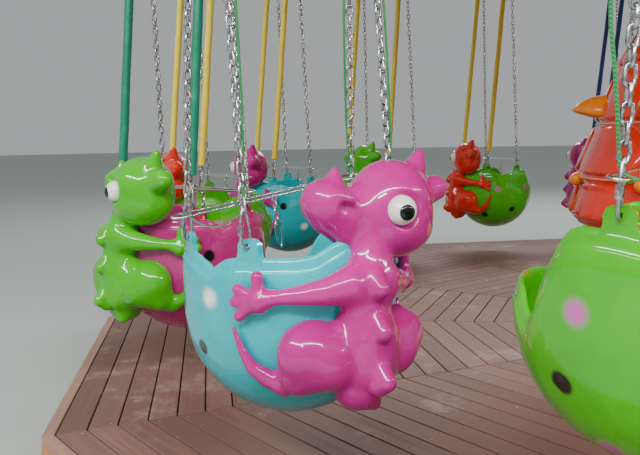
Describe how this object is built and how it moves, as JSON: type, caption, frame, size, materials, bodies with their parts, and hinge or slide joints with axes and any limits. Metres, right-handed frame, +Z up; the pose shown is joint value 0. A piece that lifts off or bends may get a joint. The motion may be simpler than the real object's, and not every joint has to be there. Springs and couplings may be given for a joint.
{
  "type": "chair swing ride",
  "caption": "Children's chair swing ride: egg tub seats hugged by baby dinosaurs hang on chains from a turning sweep under a roof, over a round boarded deck.",
  "frame": {"origin": "on the ground at the middle of the deck", "axes": "+Z up along the mast; +X and +Y square to two opposite pairs of the deck's sides"},
  "size_m": [8.361, 8.361, 5.4906],
  "materials": {
    "deck_timber": "matt boards",
    "fascia_timber": "satin",
    "frame_steel": "satin",
    "yellow_paint": "gloss",
    "yellow_gelcoat": "gloss",
    "red_gelcoat": "gloss",
    "roof_gelcoat": "gloss",
    "green_gelcoat": "gloss",
    "turquoise_gelcoat": "gloss",
    "magenta_gelcoat": "gloss",
    "galvanised_chain": "galvanised",
    "stainless_bar": "polished"
  },
  "bodies": {
    "base": {"deck_frame": "frame_steel", "deck_boards": "deck_timber", "deck_fascia": "fascia_timber", "centre_pedestal": "yellow_paint", "mast": "yellow_paint", "lower_cladding": "red_gelcoat", "upper_cladding": "red_gelcoat"},
    "rotor": {"rotor_hub": "frame_steel", "sweep_frame": "yellow_paint", "rounding_board": "yellow_gelcoat", "roof": "roof_gelcoat", "finial": "green_gelcoat"},
    "swing_01": {"seat_01": "turquoise_gelcoat", "hanger_01": "galvanised_chain"},
    "bar_01": {"lap_bar_01": "stainless_bar"},
    "swing_02": {"seat_02": "green_gelcoat", "hanger_02": "galvanised_chain"},
    "bar_02": {"lap_bar_02": "stainless_bar"},
    "swing_03": {"seat_03": "magenta_gelcoat", "hanger_03": "galvanised_chain"},
    "bar_03": {"lap_bar_03": "stainless_bar"},
    "swing_04": {"seat_04": "turquoise_gelcoat", "hanger_04": "galvanised_chain"},
    "bar_04": {"lap_bar_04": "stainless_bar"},
    "swing_05": {"seat_05": "green_gelcoat", "hanger_05": "galvanised_chain"},
    "bar_05": {"lap_bar_05": "stainless_bar"},
    "swing_06": {"seat_06": "magenta_gelcoat", "hanger_06": "galvanised_chain"},
    "bar_06": {"lap_bar_06": "stainless_bar"},
    "swing_07": {"seat_07": "turquoise_gelcoat", "hanger_07": "galvanised_chain"},
    "bar_07": {"lap_bar_07": "stainless_bar"},
    "swing_08": {"seat_08": "green_gelcoat", "hanger_08": "galvanised_chain"},
    "bar_08": {"lap_bar_08": "stainless_bar"},
    "swing_09": {"seat_09": "magenta_gelcoat", "hanger_09": "galvanised_chain"},
    "bar_09": {"lap_bar_09": "stainless_bar"},
    "swing_10": {"seat_10": "turquoise_gelcoat", "hanger_10": "galvanised_chain"},
    "bar_10": {"lap_bar_10": "stainless_bar"},
    "swing_11": {"seat_11": "green_gelcoat", "hanger_11": "galvanised_chain"},
    "bar_11": {"lap_bar_11": "stainless_bar"},
    "swing_12": {"seat_12": "magenta_gelcoat", "hanger_12": "galvanised_chain"},
    "bar_12": {"lap_bar_12": "stainless_bar"},
    "swing_13": {"seat_13": "turquoise_gelcoat", "hanger_13": "galvanised_chain"},
    "bar_13": {"lap_bar_13": "stainless_bar"},
    "swing_14": {"seat_14": "green_gelcoat", "hanger_14": "galvanised_chain"},
    "bar_14": {"lap_bar_14": "stainless_bar"},
    "swing_15": {"seat_15": "magenta_gelcoat", "hanger_15": "galvanised_chain"},
    "bar_15": {"lap_bar_15": "stainless_bar"},
    "swing_16": {"seat_16": "turquoise_gelcoat", "hanger_16": "galvanised_chain"},
    "bar_16": {"lap_bar_16": "stainless_bar"}
  },
  "joints": [
    {"name": "rotor_spin", "type": "hinge", "parent": "base", "child": "rotor", "pos_m": [0, 0, 4], "axis": [0, 0, 1], "continuous": true},
    {"name": "swing_01_pivot", "type": "hinge", "parent": "rotor", "child": "swing_01", "pos_m": [3.52565, 0.31838, 3.6], "axis": [0.0899, -0.9959, 0], "range_deg": [-10, 30]},
    {"name": "bar_01_slide", "type": "slide", "parent": "swing_01", "child": "bar_01", "axis": [-0.0034, 0.0374, 0.9993], "range_m": [0, 0.25]},
    {"name": "swing_02_pivot", "type": "hinge", "parent": "rotor", "child": "swing_02", "pos_m": [3.13544, 1.64335, 3.6], "axis": [0.4642, -0.8857, 0], "range_deg": [-10, 30]},
    {"name": "bar_02_slide", "type": "slide", "parent": "swing_02", "child": "bar_02", "axis": [-0.0174, 0.0333, 0.9993], "range_m": [0, 0.25]},
    {"name": "swing_03_pivot", "type": "hinge", "parent": "rotor", "child": "swing_03", "pos_m": [2.26789, 2.71814, 3.6], "axis": [0.7678, -0.6406, 0], "range_deg": [-10, 30]},
    {"name": "bar_03_slide", "type": "slide", "parent": "swing_03", "child": "bar_03", "axis": [-0.0288, 0.0241, 0.9993], "range_m": [0, 0.25]},
    {"name": "swing_04_pivot", "type": "hinge", "parent": "rotor", "child": "swing_04", "pos_m": [1.05507, 3.37912, 3.6], "axis": [0.9546, -0.298, 0], "range_deg": [-10, 30]},
    {"name": "bar_04_slide", "type": "slide", "parent": "swing_04", "child": "bar_04", "axis": [-0.0358, 0.0112, 0.9993], "range_m": [0, 0.25]},
    {"name": "swing_05_pivot", "type": "hinge", "parent": "rotor", "child": "swing_05", "pos_m": [-0.31838, 3.52565, 3.6], "axis": [0.9959, 0.0899, 0], "range_deg": [-10, 30]},
    {"name": "bar_05_slide", "type": "slide", "parent": "swing_05", "child": "bar_05", "axis": [-0.0374, -0.0034, 0.9993], "range_m": [0, 0.25]},
    {"name": "swing_06_pivot", "type": "hinge", "parent": "rotor", "child": "swing_06", "pos_m": [-1.64335, 3.13544, 3.6], "axis": [0.8857, 0.4642, 0], "range_deg": [-10, 30]},
    {"name": "bar_06_slide", "type": "slide", "parent": "swing_06", "child": "bar_06", "axis": [-0.0333, -0.0174, 0.9993], "range_m": [0, 0.25]},
    {"name": "swing_07_pivot", "type": "hinge", "parent": "rotor", "child": "swing_07", "pos_m": [-2.71814, 2.26789, 3.6], "axis": [0.6406, 0.7678, 0], "range_deg": [-10, 30]},
    {"name": "bar_07_slide", "type": "slide", "parent": "swing_07", "child": "bar_07", "axis": [-0.037, -0.0066, 0.9993], "range_m": [0, 0.25]},
    {"name": "swing_08_pivot", "type": "hinge", "parent": "rotor", "child": "swing_08", "pos_m": [-3.37912, 1.05507, 3.6], "axis": [0.298, 0.9546, 0], "range_deg": [-10, 30]},
    {"name": "bar_08_slide", "type": "slide", "parent": "swing_08", "child": "bar_08", "axis": [-0.0351, -0.0132, 0.9993], "range_m": [0, 0.25]},
    {"name": "swing_09_pivot", "type": "hinge", "parent": "rotor", "child": "swing_09", "pos_m": [-3.52565, -0.31838, 3.6], "axis": [-0.0899, 0.9959, 0], "range_deg": [-10, 30]},
    {"name": "bar_09_slide", "type": "slide", "parent": "swing_09", "child": "bar_09", "axis": [-0.0299, -0.0227, 0.9993], "range_m": [0, 0.25]},
    {"name": "swing_10_pivot", "type": "hinge", "parent": "rotor", "child": "swing_10", "pos_m": [-3.13544, -1.64335, 3.6], "axis": [-0.4642, 0.8857, 0], "range_deg": [-10, 30]},
    {"name": "bar_10_slide", "type": "slide", "parent": "swing_10", "child": "bar_10", "axis": [0.0174, -0.0333, 0.9993], "range_m": [0, 0.25]},
    {"name": "swing_11_pivot", "type": "hinge", "parent": "rotor", "child": "swing_11", "pos_m": [-2.26789, -2.71814, 3.6], "axis": [-0.7678, 0.6406, 0], "range_deg": [-10, 30]},
    {"name": "bar_11_slide", "type": "slide", "parent": "swing_11", "child": "bar_11", "axis": [0.031, -0.0259, 0.9992], "range_m": [0, 0.25]},
    {"name": "swing_12_pivot", "type": "hinge", "parent": "rotor", "child": "swing_12", "pos_m": [-1.05507, -3.37912, 3.6], "axis": [-0.9546, 0.298, 0], "range_deg": [-10, 30]},
    {"name": "bar_12_slide", "type": "slide", "parent": "swing_12", "child": "bar_12", "axis": [0.0358, -0.0112, 0.9993], "range_m": [0, 0.25]},
    {"name": "swing_13_pivot", "type": "hinge", "parent": "rotor", "child": "swing_13", "pos_m": [0.31838, -3.52565, 3.6], "axis": [-0.9959, -0.0899, 0], "range_deg": [-10, 30]},
    {"name": "bar_13_slide", "type": "slide", "parent": "swing_13", "child": "bar_13", "axis": [0.0374, 0.0034, 0.9993], "range_m": [0, 0.25]},
    {"name": "swing_14_pivot", "type": "hinge", "parent": "rotor", "child": "swing_14", "pos_m": [1.64335, -3.13544, 3.6], "axis": [-0.8857, -0.4642, 0], "range_deg": [-10, 30]},
    {"name": "bar_14_slide", "type": "slide", "parent": "swing_14", "child": "bar_14", "axis": [0.0333, 0.0174, 0.9993], "range_m": [0, 0.25]},
    {"name": "swing_15_pivot", "type": "hinge", "parent": "rotor", "child": "swing_15", "pos_m": [2.71814, -2.26789, 3.6], "axis": [-0.6406, -0.7678, 0], "range_deg": [-10, 30]},
    {"name": "bar_15_slide", "type": "slide", "parent": "swing_15", "child": "bar_15", "axis": [0.0241, 0.0288, 0.9993], "range_m": [0, 0.25]},
    {"name": "swing_16_pivot", "type": "hinge", "parent": "rotor", "child": "swing_16", "pos_m": [3.37912, -1.05507, 3.6], "axis": [-0.298, -0.9546, 0], "range_deg": [-10, 30]},
    {"name": "bar_16_slide", "type": "slide", "parent": "swing_16", "child": "bar_16", "axis": [0.0112, 0.0358, 0.9993], "range_m": [0, 0.25]}
  ]
}
